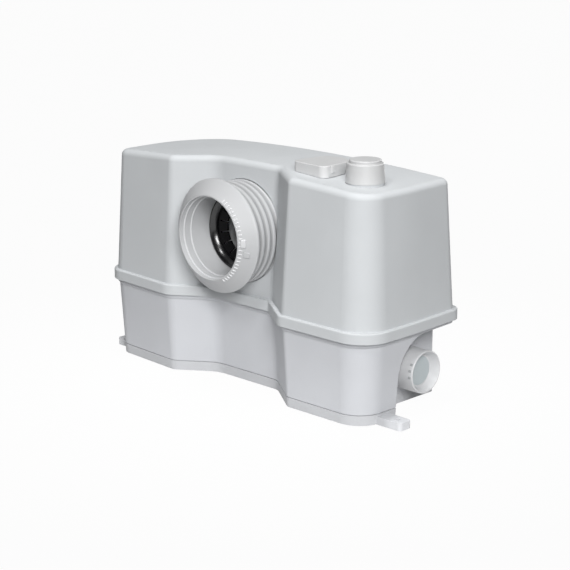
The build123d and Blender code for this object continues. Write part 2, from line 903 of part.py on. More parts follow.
def cutter_ring():
    top = casing_floor
    bottom = top - cutter_ring_height
    inner = cutter_ring_radius - cutter_ring_wall
    ring = upright(cutter_ring_radius, bottom, top, pump_x, pump_y)
    ring = ring - upright(inner, bottom - overrun, top + overrun, pump_x, pump_y)
    for i in range(cutter_slots):
        slot = Pos(cutter_ring_radius, 0, top - cutter_ring_height / 2) * Box(
            2 * cutter_ring_wall + overrun, cutter_slot_width, cutter_ring_height / 2)
        ring = ring - Pos(pump_x, pump_y, 0) * Rot(0, 0, 360 * i / cutter_slots) * slot
    return ring


def cutter_blade():
    z = casing_floor - cutter_ring_height / 2
    blade = upright(hub_radius, z - cutter_thickness, z + cutter_thickness, pump_x, pump_y)
    for i in range(cutter_teeth):
        arm = Pos(cutter_radius / 2, 0, z) * Box(cutter_radius, hub_radius, cutter_thickness)
        tooth = Pos(cutter_radius - cutter_thickness / 2, 0, z) * Box(
            cutter_thickness, hub_radius, 2 * cutter_thickness)
        blade = blade + Pos(pump_x, pump_y, 0) * Rot(0, 0, 360 * i / cutter_teeth) * (arm + tooth)
    return blade - upright(shaft_radius, 0, roof_height, pump_x, pump_y)


def impeller():
    bottom = casing_floor + casing_wall + casing_wall / 2
    top = bottom + vane_height
    wheel = upright(impeller_radius, top, top + impeller_plate, pump_x, pump_y)
    curve = impeller_radius * vane_curve_share
    sweep_ring = upright(curve + vane_width / 2, bottom, top, curve, 0)
    sweep_ring = sweep_ring - upright(curve - vane_width / 2, bottom, top, curve, 0)
    vane = sweep_ring & upright(impeller_radius, bottom, top, 0, 0)
    vane = vane & block((0, 0, bottom), (impeller_radius, impeller_radius, top))
    for i in range(vane_count):
        wheel = wheel + Pos(pump_x, pump_y, 0) * Rot(0, 0, 360 * i / vane_count) * vane
    wheel = wheel + upright(hub_radius, bottom, top + impeller_plate, pump_x, pump_y)
    return wheel - upright(shaft_radius, 0, roof_height, pump_x, pump_y)


def motor_floor():
    return casing_floor + casing_height + casing_hub_height


def rotor_shaft():
    bottom = casing_floor - cutter_ring_height / 2 - cutter_thickness
    top = motor_floor() + motor_height + motor_top_height / 2
    shaft = upright(shaft_radius, bottom, top, pump_x, pump_y)
    middle = motor_floor() + motor_height / 2
    return shaft + upright(rotor_radius, middle - rotor_length / 2, middle + rotor_length / 2, pump_x, pump_y)


def stator():
    middle = motor_floor() + motor_height / 2
    low = middle - rotor_length / 2
    high = middle + rotor_length / 2
    inner = rotor_radius + air_gap
    core = upright(motor_radius - motor_wall, low, high, pump_x, pump_y)
    winding = upright(inner + winding_overhang + stator_width / 4, low - winding_overhang,
                      high + winding_overhang, pump_x, pump_y)
    return core + winding - upright(inner, 0, roof_height, pump_x, pump_y)


def motor_can():
    floor = motor_floor()
    can = upright(motor_radius, floor, floor + motor_height, pump_x, pump_y)
    can = can - upright(motor_radius - motor_wall, floor + motor_wall, floor + motor_height + overrun,
                        pump_x, pump_y)
    can = can + upright(bearing_radius + motor_wall, floor, floor + motor_wall + bearing_width, pump_x, pump_y)
    can = can - upright(bearing_radius, floor + motor_wall, roof_height, pump_x, pump_y)
    return can - upright(bearing_radius - motor_wall, 0, roof_height, pump_x, pump_y)


def motor_top():
    floor = motor_floor() + motor_height
    lid = upright(motor_radius, floor, floor + motor_top_height, pump_x, pump_y)
    lid = lid + upright(motor_radius - motor_wall, floor - motor_wall, floor, pump_x, pump_y)
    lid = lid - upright(bearing_radius, floor - motor_wall - overrun, floor + bearing_width - motor_wall,
                        pump_x, pump_y)
    return lid


def lower_bearing():
    floor = motor_floor() + motor_wall
    ring = upright(bearing_radius, floor, floor + bearing_width, pump_x, pump_y)
    return ring - upright(shaft_radius + bearing_clearance, 0, roof_height, pump_x, pump_y)


def upper_bearing():
    top = motor_floor() + motor_height + bearing_width - motor_wall
    ring = upright(bearing_radius, top - bearing_width, top, pump_x, pump_y)
    return ring - upright(shaft_radius + bearing_clearance, 0, roof_height, pump_x, pump_y)


def shaft_seal():
    top = motor_floor()
    ring = upright(bearing_radius - shaft_radius / 2, top - seal_width, top, pump_x, pump_y)
    return ring - upright(shaft_radius + bearing_clearance, 0, roof_height, pump_x, pump_y)


def riser_points():
    y = pump_y + outlet_offset()
    start = outlet_end_x() - socket_length
    return [
        (start, y, pipe_z),
        (recess_centre + recess_width / 2, y, pipe_z),
        (outlet_x - 2 * pipe_bend, outlet_y, pipe_z),
        (outlet_x, outlet_y, pipe_z),
        (outlet_x, outlet_y, valve_floor),
    ]


def riser_pipe():
    path = FilletPolyline(*riser_points(), radius=pipe_bend - fit_clearance)
    plane = Plane(origin=path @ 0, z_dir=path % 0)
    pipe = sweep(plane * Circle(pipe_radius), path)
    return pipe - sweep(plane * Circle(pipe_radius - pipe_wall), path)


def hose_clamps():
    radius = pipe_radius + fit_clearance + socket_wall
    outer = radius + clamp_thickness
    x = outlet_end_x() - socket_length / 2
    y = pump_y + outlet_offset()
    low = along_x(outer, x - clamp_width / 2, x + clamp_width / 2, y, pipe_z)
    low = low + block((x - clamp_width / 2, y - clamp_block, pipe_z + radius),
                      (x + clamp_width / 2, y + clamp_block, pipe_z + radius + clamp_block))
    low = low - along_x(radius, x - clamp_width, x + clamp_width, y, pipe_z)
    z = valve_floor - socket_length / 2
    high = upright(outer, z - clamp_width / 2, z + clamp_width / 2, outlet_x, outlet_y)
    high = high + block((outlet_x - clamp_block, outlet_y + radius, z - clamp_width / 2),
                        (outlet_x + clamp_block, outlet_y + radius + clamp_block, z + clamp_width / 2))
    high = high - upright(radius, z - clamp_width, z + clamp_width, outlet_x, outlet_y)
    return low + high


def level_tube():
    tube = upright(level_radius, level_bottom, level_top, level_x, level_y)
    bell = upright(level_radius + level_wall, level_bottom, level_bottom + 4 * level_radius, level_x, level_y)
    return tube + bell - upright(level_radius - level_wall, 0, level_top - level_wall, level_x, level_y)


def pressure_switch():
    body = upright(switch_radius, level_top, level_top + switch_height, level_x, level_y)
    hole = upright(plunger_radius + bearing_clearance, level_top + switch_height - plunger_length,
                   roof_height, level_x, level_y)
    return body - hole


def switch_plunger():
    top = level_top + switch_height
    return upright(plunger_radius, top + plunger_rise - plunger_length, top + plunger_rise, level_x, level_y)


def control_box():
    floor = motor_floor() + motor_height + motor_top_height
    low = (pump_x - box_length / 2, pump_y - box_width / 2, floor)
    high = (pump_x + box_length / 2, pump_y + box_width / 2, floor + box_height)
    body = fillet(block(low, high).edges().filter_by(Axis.Z), 2 * wall)
    inner = block([v + wall for v in low], [v - wall for v in high])
    return body - inner


def capacitor():
    floor = motor_floor() + motor_height + motor_top_height + wall
    z = floor + capacitor_radius
    return along_x(capacitor_radius, pump_x - capacitor_length / 2, pump_x + capacitor_length / 2, pump_y, z)


def cable_gland():
    wall_y = gland_seat_y()
    nut = along_y(gland_radius, wall_y, wall_y + gland_height, gland_x, gland_z)
    stem = along_y(gland_radius / 2, wall_y - 2 * wall, wall_y, gland_x, gland_z)
    return nut + stem - along_y(gland_bore, 0, depth, gland_x, gland_z)


def rubber_feet():
    feet = None
    for x, y in foot_places():
        foot = upright(foot_radius, 0, base_height - wall, x, y)
        feet = foot if feet is None else feet + foot
    return feet


def base_screws():
    screws = None
    under = base_height - wall
    for x, y in screw_places():
        screw = upright(screw_head_radius, under - screw_head_height, under, x, y)
        screw = screw + upright(screw_radius, under, base_height + screw_length - wall, x, y)
        screws = screw if screws is None else screws + screw
    return screws


nodes = [
    base_plate, tank, rim_gasket, cover, wc_inlet_collar, inlet_lip_seal, inlet_sleeve, inlet_hood,
    side_inlet_spigot, side_blank, side_flap_seat, side_flap, side_flap_pin, discharge_stub,
    discharge_cap, discharge_valve_body, discharge_flap, discharge_flap_pin, hatch_lid, vent_filter,
    pump_casing, pump_dampers, cutter_ring, cutter_blade, impeller, rotor_shaft, stator, motor_can,
    motor_top, lower_bearing, upper_bearing, shaft_seal, riser_pipe, hose_clamps, level_tube,
    pressure_switch, switch_plunger, control_box, capacitor, cable_gland, rubber_feet, base_screws,
]

for make in nodes:
    export_step(make(), f"parts/{make.__name__}.step")
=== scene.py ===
import math

import bpy
import numpy as np
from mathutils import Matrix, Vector


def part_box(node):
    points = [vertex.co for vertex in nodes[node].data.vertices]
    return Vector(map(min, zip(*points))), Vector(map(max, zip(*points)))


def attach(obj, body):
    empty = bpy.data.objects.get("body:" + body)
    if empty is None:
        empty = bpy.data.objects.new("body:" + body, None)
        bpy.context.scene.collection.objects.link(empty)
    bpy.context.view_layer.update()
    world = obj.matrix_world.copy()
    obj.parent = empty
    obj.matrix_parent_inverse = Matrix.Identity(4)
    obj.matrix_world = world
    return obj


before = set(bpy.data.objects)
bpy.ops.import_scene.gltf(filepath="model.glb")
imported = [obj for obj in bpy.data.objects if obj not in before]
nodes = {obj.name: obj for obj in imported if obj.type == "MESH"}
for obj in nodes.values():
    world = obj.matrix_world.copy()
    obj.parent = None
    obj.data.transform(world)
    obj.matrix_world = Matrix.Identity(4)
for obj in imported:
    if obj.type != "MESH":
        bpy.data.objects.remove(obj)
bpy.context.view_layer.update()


# Camera at the photograph's place, found from the rim, the corners and the two lugs

VIEWPOINT = Vector((1.3436, -1.34845, 0.60873))
LOOKING = Vector((-0.67832, 0.69024, -0.25189))
SENSOR_MILLIMETRES = 36.0
FOCAL_MILLIMETRES = 102.67
NEAREST_SEEN = 0.05
FARTHEST_SEEN = 30.0


def add_to_scene(name, data):
    """A new object of that name, made of the data and linked to the scene."""
    made = bpy.data.objects.new(name, data)
    bpy.context.scene.collection.objects.link(made)
    return made


def stand_facing(thing, place, direction):
    """Puts a camera or a lamp at a place and turns it along a direction."""
    thing.location = place
    thing.rotation_mode = "QUATERNION"
    thing.rotation_quaternion = direction.to_track_quat("-Z", "Y")


def place_camera():
    """The camera at the photograph's viewpoint."""
    lens = bpy.data.cameras.new("viewpoint")
    lens.sensor_width = SENSOR_MILLIMETRES
    lens.lens = FOCAL_MILLIMETRES
    lens.clip_start = NEAREST_SEEN
    lens.clip_end = FARTHEST_SEEN
    camera = add_to_scene("viewpoint", lens)
    stand_facing(camera, VIEWPOINT, LOOKING)
    bpy.context.scene.camera = camera


# The places of the Mix node's colour sockets, which share their names with its other sockets

MIX_FIRST = 6
MIX_SECOND = 7
MIX_RESULT = 2

# The span that a noise mostly keeps to

CLOUD_SPAN = (0.3, 0.7)

# How much lighter or darker than its material's colour a place is

CLOUD_TINT = 0.035
SPECK_TINT = -0.12
# Painted light: the base plate's lugs are painted paler, as if lit more from above
LUG_PAINTED_LIGHT_TINT = 0.24
# Painted light: the collar's bore is painted paler, as if lit more inside
BORE_PAINTED_LIGHT_TINT = 0.2
# Painted shade: the valleys between the thread's ridges are painted darker
VALLEY_PAINTED_SHADE_TINT = -0.42
# Wear and painted highlight: edges are painted lighter
WORN_AND_HIGHLIGHT_TINT = 0.22
BLOOM_TINT = 0.9
TOOL_LINE_TINT = -0.1
POLISH_TINT = 0.06
GAP_TINT = -0.35

# How deep the grain of a moulding is, in metres, and how many waves of it are in a metre

GRAIN = 0.00003
SMOOTH_GRAIN = 0.000015
GRAIN_WAVES = 1900.0

# The noise that makes specks, the most that a speck shows, and the metres over which a lug turns pale
# with painted light

SPECK_SPAN = (0.62, 0.8)
SPECK_SHARES = (0.0, 0.25)
LUG_PAINTED_LIGHT_BLEND = (-0.006, 0.004)

# The collar's thread, in metres: from the crest in to the valleys' floor and top, over which their
# painted shade fades, and in to where the plain wall ends; then the metres over which the painted shade
# at the thread's start and the painted light at the bore's edge fade

VALLEY_FLOOR = 0.0022
VALLEY_TOP = 0.0004
WALL_BLEND = (-0.0045, -0.0040)
START_FADE = 0.0005
BORE_PAINTED_LIGHT_FADE = 0.0006


class Finish:
    """One material: a node tree with a Principled shader, and short calls for the patterns in it."""

    def __init__(self, name, colour, roughness, metal=0.0, gloss=0.5):
        self.material = bpy.data.materials.new(name)
        self.material.use_nodes = True
        self.tree = self.material.node_tree
        self.shader = self.tree.nodes["Principled BSDF"]
        self.shader.inputs["Base Color"].default_value = (*colour, 1.0)
        self.shader.inputs["Roughness"].default_value = roughness
        self.shader.inputs["Metallic"].default_value = metal
        self.shader.inputs["Specular IOR Level"].default_value = gloss
        self.place = self.node("ShaderNodeTexCoord").outputs["Object"]

    def node(self, kind, **settings):
        """A new node of that kind, with its settings."""
        made = self.tree.nodes.new(kind)
        for key, value in settings.items():
            setattr(made, key, value)
        return made

    def join(self, start, end):
        """A link from an output to an input."""
        self.tree.links.new(start, end)

    def noise(self, waves, detail=3.0, stretch=(1.0, 1.0, 1.0)):
        """A cloudy field from 0 to 1, with that many waves per metre."""
        stretched = self.node("ShaderNodeMapping")
        stretched.inputs["Scale"].default_value = stretch
        self.join(self.place, stretched.inputs["Vector"])
        made = self.node("ShaderNodeTexNoise")
        made.inputs["Scale"].default_value = waves
        made.inputs["Detail"].default_value = detail
        self.join(stretched.outputs["Vector"], made.inputs["Vector"])
        return made.outputs["Fac"]

    def along(self, axis):
        """The coordinate in metres along the axis named X, Y or Z."""
        parts = self.node("ShaderNodeSeparateXYZ")
        self.join(self.place, parts.inputs[0])
        return parts.outputs[axis]

    def distance(self, place):
        """How far a place is from the origin."""
        made = self.node("ShaderNodeVectorMath", operation="LENGTH")
        self.join(place, made.inputs[0])
        return made.outputs["Value"]

    def distance_from_axis(self, middle):
        """Distance in metres from a line along Y through the (x, z) given."""
        flat = self.node("ShaderNodeMapping")
        flat.inputs["Location"].default_value = (-middle[0], 0.0, -middle[1])
        flat.inputs["Scale"].default_value = (1.0, 0.0, 1.0)
        self.join(self.place, flat.inputs["Vector"])
        return self.distance(flat.outputs["Vector"])

    def spread(self, field, span, onto=(0.0, 1.0)):
        """The field's span laid over another span, and held at its ends beyond."""
        made = self.node("ShaderNodeMapRange")
        for key, value in zip(("From Min", "From Max", "To Min", "To Max"), (*span, *onto)):
            made.inputs[key].default_value = value
        self.join(field, made.inputs["Value"])
        return made.outputs["Result"]

    def mix(self, factor, first, second):
        """Colour from first to second as factor goes from 0 to 1."""
        made = self.node("ShaderNodeMix", data_type="RGBA")
        self.join(factor, made.inputs["Factor"])
        for number, value in ((MIX_FIRST, first), (MIX_SECOND, second)):
            if isinstance(value, tuple):
                made.inputs[number].default_value = (*value, 1.0)
            else:
                self.join(value, made.inputs[number])
        return made.outputs[MIX_RESULT]

    def round_edges(self, radius):
        """Normals that turn smoothly over an edge, as a moulding's do."""
        made = self.node("ShaderNodeBevel", samples=6)
        made.inputs["Radius"].default_value = radius
        return made.outputs["Normal"]

    def edge_mask(self, rounded, most):
        """How far the rounded normal leans from the face's own: 0 on a flat, up to most on an edge."""
        face = self.node("ShaderNodeNewGeometry").outputs["Normal"]
        dot = self.node("ShaderNodeVectorMath", operation="DOT_PRODUCT")
        self.join(face, dot.inputs[0])
        self.join(rounded, dot.inputs[1])
        return self.spread(dot.outputs["Value"], (1.0, 0.8), (0.0, most))

    def colour(self, value):
        """Joins a colour to the shader."""
        self.join(value, self.shader.inputs["Base Color"])

    def worn_and_highlit_colour(self, body, colour, rounded, most):
        """The body's colour, with edges painted a little lighter, at most by that share, as wear and as
        a painted highlight.
        """
        self.colour(self.mix(self.edge_mask(rounded, most), body, tinted(colour, WORN_AND_HIGHLIGHT_TINT)))

    def patchy_roughness(self, waves, lowest, highest):
        """Roughness that wanders in clouds between two values."""
        patches = self.spread(self.noise(waves), CLOUD_SPAN, (lowest, highest))
        self.join(patches, self.shader.inputs["Roughness"])

    def relief(self, field, depth, below=None):
        """Bump of that depth in metres, on top of the normals given."""
        made = self.node("ShaderNodeBump")
        made.inputs["Strength"].default_value = 1.0
        made.inputs["Distance"].default_value = depth
        self.join(field, made.inputs["Height"])
        if below is not None:
            self.join(below, made.inputs["Normal"])
        self.join(made.outputs["Normal"], self.shader.inputs["Normal"])


def tinted(colour, share):
    """The colour made lighter or darker by that share."""
    return tuple(min(1.0, part * (1.0 + share)) for part in colour)


def moulded(name, colour, roughness, edge=0.0008, grain=GRAIN, grain_waves=GRAIN_WAVES, gloss=0.5,
            ends=None):
    """Moulded plastic: a fine even grain, broad faint clouds of tone, a few darker specks, and edges
    painted a little lighter, as wear and as a painted highlight. With ends, the parts farther along X
    than that are painted paler, as painted light on the lugs."""
    made = Finish(name, colour, roughness, gloss=gloss)
    rounded = made.round_edges(radius=edge)
    cloud = made.spread(made.noise(waves=9.0, detail=4.0), CLOUD_SPAN)
    body = made.mix(cloud, tinted(colour, -CLOUD_TINT), tinted(colour, CLOUD_TINT))
    speck = made.spread(made.noise(waves=600.0, detail=2.0), SPECK_SPAN, SPECK_SHARES)
    body = made.mix(speck, body, tinted(colour, SPECK_TINT))
    # Painted light: beyond ends, the lugs are painted paler
    if ends:
        reach = made.node("ShaderNodeMath", operation="ABSOLUTE")
        made.join(made.along("X"), reach.inputs[0])
        lug = made.spread(reach.outputs[0], [ends + part for part in LUG_PAINTED_LIGHT_BLEND])
        body = made.mix(lug, body, tinted(colour, LUG_PAINTED_LIGHT_TINT))
    # Edges painted lighter, as wear and as a painted highlight
    made.worn_and_highlit_colour(body, colour, rounded, most=0.35)
    made.patchy_roughness(waves=45.0, lowest=roughness - 0.05, highest=roughness + 0.06)
    made.relief(made.noise(waves=grain_waves, detail=2.0), depth=grain, below=rounded)
    return made.material


def threaded_white(name, colour, roughness, bore, crest, start):
    """The collar's plastic, by the distance from the inlet's axis: painted paler inside the bore, as
    painted light, and darker in the valleys between the thread's ridges, which lie behind the y where
    the thread starts, as painted shade. A fine grain, and edges painted a little lighter, as wear and as
    a painted highlight."""
    made = Finish(name, colour, roughness)
    rounded = made.round_edges(radius=0.0006)
    away = made.distance_from_axis(INLET)
    # Painted shade: the thread's valleys are painted darker
    ridge = made.spread(away, (crest - VALLEY_FLOOR, crest - VALLEY_TOP))
    valley = made.mix(ridge, tinted(colour, VALLEY_PAINTED_SHADE_TINT), colour)
    outside = made.spread(away, [crest + part for part in WALL_BLEND])
    behind = made.spread(made.along("Y"), (start, start + START_FADE))
    body = made.mix(behind, colour, made.mix(outside, colour, valley))
    # Painted light: the bore is painted paler
    inside = made.spread(away, (bore, bore + BORE_PAINTED_LIGHT_FADE), (1.0, 0.0))
    body = made.mix(inside, body, tinted(colour, BORE_PAINTED_LIGHT_TINT))
    # Edges painted lighter, as wear and as a painted highlight
    made.worn_and_highlit_colour(body, colour, rounded, most=0.25)
    made.patchy_roughness(waves=45.0, lowest=roughness - 0.05, highest=roughness + 0.06)
    made.relief(made.noise(waves=GRAIN_WAVES, detail=2.0), depth=SMOOTH_GRAIN, below=rounded)
    return made.material


def rubber(name, colour, roughness, gloss=0.5):
    """Rubber: a faint bloom in patches and a slightly rippled skin."""
    made = Finish(name, colour, roughness, gloss=gloss)
    rounded = made.round_edges(radius=0.0006)
    bloom = made.spread(made.noise(waves=60.0, detail=4.0), (0.45, 0.75), (0.0, 0.5))
    made.colour(made.mix(bloom, colour, tinted(colour, BLOOM_TINT)))
    made.patchy_roughness(waves=35.0, lowest=roughness - 0.05, highest=roughness + 0.12)
    made.relief(made.noise(waves=420.0), depth=0.00005, below=rounded)
    return made.material


def turned_metal(name, colour, roughness, stretch=(1.0, 1.0, 18.0)):
    """Machined metal: fine tool lines round the axis and a little uneven polish."""
    made = Finish(name, colour, roughness, metal=1.0)
    rounded = made.round_edges(radius=0.0004)
    line = made.noise(waves=160.0, detail=4.0, stretch=stretch)
    bright = made.spread(line, (0.35, 0.65))
    made.colour(made.mix(bright, tinted(colour, TOOL_LINE_TINT), tinted(colour, POLISH_TINT)))
    made.patchy_roughness(waves=70.0, lowest=roughness - 0.06, highest=roughness + 0.1)
    made.relief(line, depth=0.00003, below=rounded)
    return made.material


def laminated_core(name, steel, copper, roughness):
    """The stator: stacked sheets seen as fine level lines, with glints of enamelled copper wire."""
    made = Finish(name, steel, roughness, metal=1.0)
    layers = made.node("ShaderNodeTexWave", wave_type="BANDS", bands_direction="Z")
    layers.inputs["Scale"].default_value = 260.0
    layers.inputs["Distortion"].default_value = 0.3
    made.join(made.place, layers.inputs["Vector"])
    sheets = made.mix(layers.outputs["Fac"], tinted(steel, GAP_TINT), steel)
    strands = made.spread(made.noise(waves=500.0, detail=2.0, stretch=(1.0, 1.0, 4.0)), CLOUD_SPAN)
    made.colour(made.mix(made.spread(strands, (0.9, 1.0)), sheets, copper))
    made.patchy_roughness(waves=90.0, lowest=roughness - 0.07, highest=roughness + 0.1)
    made.relief(layers.outputs["Fac"], depth=0.0001)
    return made.material


# Colours

COVER = (0.562, 0.58, 0.594)
TANK = (0.575, 0.586, 0.612)
BASE_PLATE = (0.55, 0.558, 0.576)
FITTING = (0.60, 0.605, 0.615)
CATCH = (0.36, 0.37, 0.375)
MARK = (0.72, 0.725, 0.735)
COLLAR = (0.475, 0.481, 0.49)
# The hood and sleeve are painted much paler than the other plastic, as painted light in their shaded
# insides seen through the seal
PAINTED_PALE_HOOD = (0.88, 0.885, 0.89)
LID = (0.60, 0.603, 0.605)
CAP = (0.55, 0.553, 0.555)
BLANK = (0.44, 0.485, 0.50)
FILLED = (0.052, 0.054, 0.058)
PIPE = (0.27, 0.285, 0.29)
LIP_RUBBER = (0.002, 0.002, 0.0025)
BEAD_RUBBER = (0.003, 0.003, 0.0035)
MATT_RUBBER = (0.018, 0.018, 0.019)
CARBON = (0.012, 0.012, 0.012)
STEEL = (0.56, 0.56, 0.57)
ALUMINIUM = (0.62, 0.63, 0.65)
CORE_STEEL = (0.42, 0.42, 0.43)
COPPER = (0.55, 0.24, 0.1)

# The x and z of the toilet inlet's axis, which runs along Y, the radii of its collar's bore and
# of the thread's crest, and the y where the thread starts

INLET = (-0.0086, 0.1865)
BORE = 0.0492
CREST = 0.0612
THREAD_START = -0.0830

# The shell's satin plastic, and how far out along X the base plate's lugs start, which are painted paler
# as painted light

SATIN = {"roughness": 0.6, "gloss": 0.22}
LUGS_START = 0.2275

finishes = {
    "cover": moulded("cover_plastic", COVER, **SATIN),
    "tank": moulded("tank_plastic", TANK, **SATIN),
    "base": moulded("base_plastic", BASE_PLATE, ends=LUGS_START, **SATIN),
    "fitting": moulded("fitting_plastic", FITTING, roughness=0.33, edge=0.0006, grain=SMOOTH_GRAIN),
    "catch": moulded("catch_plastic", CATCH, roughness=0.45, edge=0.0002, grain=SMOOTH_GRAIN),
    "mark": moulded("mark_plastic", MARK, roughness=0.4, edge=0.0002, grain=SMOOTH_GRAIN),
    "collar": threaded_white("collar_plastic", COLLAR, roughness=0.46, bore=BORE, crest=CREST,
                             start=THREAD_START),
    "hood": moulded("hood_plastic", PAINTED_PALE_HOOD, roughness=0.5),
    "lid": moulded("lid_plastic", LID, roughness=0.4),
    "cap": moulded("cap_plastic", CAP, roughness=0.46),
    "blank": moulded("blank_plastic", BLANK, roughness=0.4, edge=0.0004),
    "inner": moulded("filled_plastic", FILLED, roughness=0.5, edge=0.0005, grain=0.00006,
                     grain_waves=900.0),
    "pipe": moulded("pipe_plastic", PIPE, roughness=0.36, edge=0.0005),
    "seal": rubber("lip_rubber", LIP_RUBBER, roughness=0.4, gloss=0.15),
    "bead": rubber("glossy_rubber", BEAD_RUBBER, roughness=0.15, gloss=0.85),
    "soft": rubber("matt_rubber", MATT_RUBBER, roughness=0.62),
    "carbon": rubber("carbon_foam", CARBON, roughness=0.8),
    "steel": turned_metal("turned_steel", STEEL, roughness=0.3),
    "motor": turned_metal("cast_aluminium", ALUMINIUM, roughness=0.42, stretch=(1.0, 1.0, 5.0)),
    "winding": laminated_core("laminated_core", CORE_STEEL, COPPER, roughness=0.45),
}

finish_of = {
    "cover": ("cover",),
    "tank": ("tank",),
    "base": ("base_plate",),
    "fitting": ("side_inlet_spigot", "discharge_stub"),
    "collar": ("wc_inlet_collar",),
    "hood": ("inlet_hood", "inlet_sleeve"),
    "lid": ("hatch_lid",),
    "cap": ("discharge_cap",),
    "blank": ("side_blank",),
    "seal": ("inlet_lip_seal",),
    "soft": (
        "rim_gasket", "side_flap", "side_flap_seat", "discharge_flap", "shaft_seal", "rubber_feet",
        "pump_dampers", "cable_gland",
    ),
    "carbon": ("vent_filter",),
    "inner": (
        "pump_casing", "impeller", "control_box", "capacitor", "pressure_switch", "switch_plunger",
    ),
    "pipe": ("riser_pipe", "level_tube", "discharge_valve_body"),
    "steel": (
        "side_flap_pin", "discharge_flap_pin", "cutter_ring", "cutter_blade", "rotor_shaft",
        "lower_bearing", "upper_bearing", "hose_clamps", "base_screws",
    ),
    "motor": ("motor_can", "motor_top"),
    "winding": ("stator",),
}


def paint(piece, finish):
    """Gives a piece, CAD node or new, one finish all over."""
    piece.data.materials.clear()
    piece.data.materials.append(finishes[finish])


def number_grid(shape):
    """The numbers of a grid's points, in the order in which they are listed."""
    return np.arange(math.prod(shape)).reshape(shape)


def make_piece(name, points, grid, body, finish):
    """A mesh on its body, with its finish. The grid holds the points' numbers, and a four-cornered face
    joins each four neighbours in its last two directions. Transposed, the grid faces the other way."""
    corners = (grid[..., :-1, :-1], grid[..., :-1, 1:], grid[..., 1:, 1:], grid[..., 1:, :-1])
    faces = np.stack(corners, -1).reshape(-1, 4)
    sheet = bpy.data.meshes.new(name)
    sheet.from_pydata(points.reshape(-1, 3).tolist(), [], faces.tolist())
    sheet.update()
    piece = add_to_scene(name, sheet)
    paint(piece, finish)
    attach(piece, body)


# The collar's mouth and the cone behind it: y, depth, and radii from the inlet's axis. Marks on the
# cone lie no nearer the mouth than at CONE_LEAST beyond its inner edge

MOUTH_Y = -0.100
CONE_DEPTH = 0.014
CONE_INNER = 0.0504
CONE_OUTER = 0.0664
CONE_LEAST = 0.0006

# The graduations: turns round the axis from +X towards +Z, then metres

TICK_TURNS = np.radians(np.arange(-62.5, 63.0, 5.0))
TICK_START = 0.0498
TICK_LENGTH = 0.0046
TICK_HALF_WIDTH = 0.0008
TICK_RISE = 0.0012
TICK_SUNK = 0.00006
TICK_END_SLOPE = 8

# The raised index beside them

POINTER_TURN = math.radians(1.2)
POINTER_RADIUS = 0.0548
POINTER_HALF_LENGTH = 0.0052
POINTER_HALF_WIDTH = 0.0026
POINTER_RISE = 0.0018
POINTER_SUNK = 0.0001

# The seal's glossy lip: how far behind the mouth, its ellipse, and its points round the axis and the
# ellipse

BEAD_DEPTH = 0.0485
BEAD_RADIUS = 0.0418
BEAD_THICK = 0.0110
BEAD_DEEP = 0.0036
BEAD_TILT = math.radians(45.0)
BEAD_GRID = (128, 32)


def cone_point(turn, radius, lift):
    """A point on the collar's cone: turn round the inlet's axis from +X towards +Z, at a radius,
    lifted off the cone along its own normal, and never in front of the mouth. Depth grows in
    proportion to the radius beyond the cone's inner edge."""
    slope = CONE_DEPTH / (CONE_OUTER - CONE_INNER)
    depth = MOUTH_Y + np.maximum(radius - CONE_INNER, CONE_LEAST) * slope
    tilt = math.atan(slope)
    radius = radius + lift * math.sin(tilt)
    depth = np.maximum(depth - lift * math.cos(tilt), MOUTH_Y)
    turn, radius, depth = np.broadcast_arrays(turn, radius, depth)
    return np.stack([INLET[0] + radius * np.cos(turn), depth, INLET[1] + radius * np.sin(turn)], -1)


def pressed_square():
    """A square grid from -1 to 1 pressed towards a rounded outline, and the height of a pad over it. A
    point of the square's rim ends where the sixth powers of its two coordinates add up to 1. The
    height is the root of one less the eighth power of the larger coordinate before pressing."""
    steps = np.linspace(-1.0, 1.0, 17)
    u, v = np.meshgrid(steps, steps, indexing="ij")
    reach = np.maximum(np.abs(u), np.abs(v))
    squeeze = reach / np.maximum((u ** 6 + v ** 6) ** (1 / 6), 1e-9)
    return u * squeeze, v * squeeze, np.sqrt(np.clip(1.0 - reach ** 8, 0.0, 1.0))


def collar_ticks():
    """Fine raised graduations on the inner part of the cone, at equal turns over its right side. Each is
    a low bar whose cross-section is a half wave across its width, carried along the radius and sloped
    down at both ends."""
    along = np.linspace(0.0, 1.0, 5)
    across = np.linspace(-1.0, 1.0, 7)
    turn, along, across = np.meshgrid(TICK_TURNS, along, across, indexing="ij")
    radius = TICK_START + TICK_LENGTH * along
    ends = np.clip(TICK_END_SLOPE * np.minimum(along, 1 - along), 0, 1)
    rise = TICK_RISE * np.cos(across * math.pi / 2) * ends
    points = cone_point(turn + across * TICK_HALF_WIDTH / radius, radius, rise - TICK_SUNK)
    make_piece("collar_ticks", points, number_grid(turn.shape), "collar", "mark")


def collar_pointer():
    """The raised index beside the graduations: a pad from a pressed square, laid on the cone with its
    length round the inlet's axis."""
    u, v, height = pressed_square()
    turn = POINTER_TURN + v * POINTER_HALF_LENGTH / POINTER_RADIUS
    radius = POINTER_RADIUS + u * POINTER_HALF_WIDTH
    points = cone_point(turn, radius, POINTER_RISE * height - POINTER_SUNK)
    make_piece("collar_pointer", points, number_grid(u.shape), "collar", "fitting")


